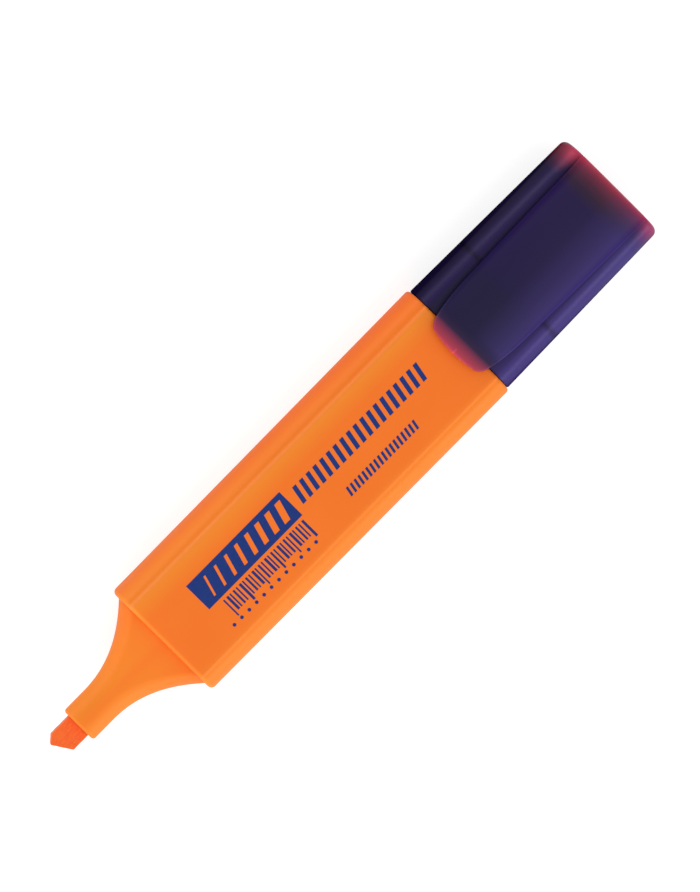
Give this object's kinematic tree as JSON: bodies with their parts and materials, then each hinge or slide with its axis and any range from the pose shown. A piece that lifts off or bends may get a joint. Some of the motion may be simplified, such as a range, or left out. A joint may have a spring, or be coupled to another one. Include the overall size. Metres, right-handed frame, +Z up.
{
  "type": "highlighter",
  "caption": "Flat-bodied chisel-tip highlighter with a flared nose, fibre reservoir and a clip cap posted on its rear end.",
  "frame": {"origin": "centre of the object's box, at the height of the surface the barrel's flat underside lies on", "axes": "+X from the nib towards the cap's closed end, +Y across the broad face, +Z up out of the face that carries the clip"},
  "size_m": [0.1416, 0.0254, 0.0158],
  "materials": {
    "orange_plastic": "satin",
    "nib_felt": "matte",
    "reservoir_fibre": "matte",
    "clear_film": "gloss",
    "violet_plastic": "gloss",
    "dark_plastic": "satin"
  },
  "bodies": {
    "pen": {"barrel": "orange_plastic", "front_section": "orange_plastic", "nib": "nib_felt", "ink_reservoir": "reservoir_fibre", "reservoir_film": "clear_film", "end_plug": "dark_plastic"},
    "cap": {"cap_shell": "violet_plastic", "inner_seal": "dark_plastic"},
    "clip": {"pocket_clip": "violet_plastic"}
  },
  "joints": [
    {"name": "cap_pull", "type": "slide", "parent": "pen", "child": "cap", "axis": [1, 0, 0], "range_m": [0, 0.02]},
    {"name": "clip_flex", "type": "hinge", "parent": "cap", "child": "clip", "pos_m": [0.0681, 0, 0.01455], "axis": [0, 1, 0], "range_deg": [0, 5], "stiffness_Nm_per_rad": 0.4}
  ]
}
